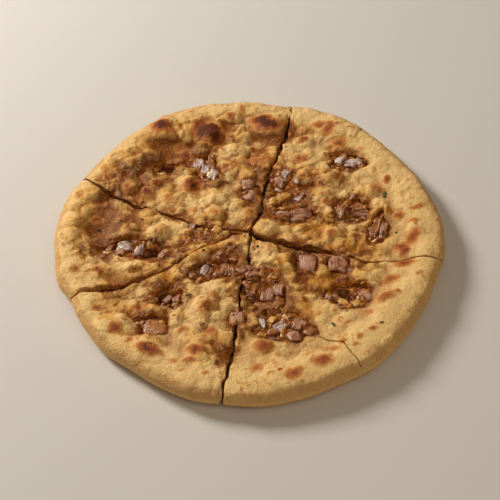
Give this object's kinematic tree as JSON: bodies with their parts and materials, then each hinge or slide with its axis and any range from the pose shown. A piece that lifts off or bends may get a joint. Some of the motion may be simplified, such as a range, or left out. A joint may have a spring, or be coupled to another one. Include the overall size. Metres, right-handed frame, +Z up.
{
  "type": "paratha flatbread",
  "caption": "Round stuffed flatbread with a puffed rim and browned blisters, cut into slices that still lie together, with onion filling showing at the cuts and torn places.",
  "frame": {"origin": "on the table, under the middle of the bread's bounding box", "axes": "+Z up through the thickness, +Y to the back of the bread as it is served, +X to the right"},
  "size_m": [0.2212, 0.2242, 0.0146],
  "materials": {
    "dough": "baked crust, pale gold with brown blisters, slightly oily",
    "filling": "wet, soft cooked onion in a brown spiced mash"
  },
  "bodies": {
    "root": {"slice_1": "dough", "slice_2": "dough", "slice_3": "dough", "slice_4": "dough", "slice_5": "dough", "filling_1": "filling", "filling_2": "filling", "filling_3": "filling", "filling_4": "filling", "filling_5": "filling"}
  },
  "joints": []
}
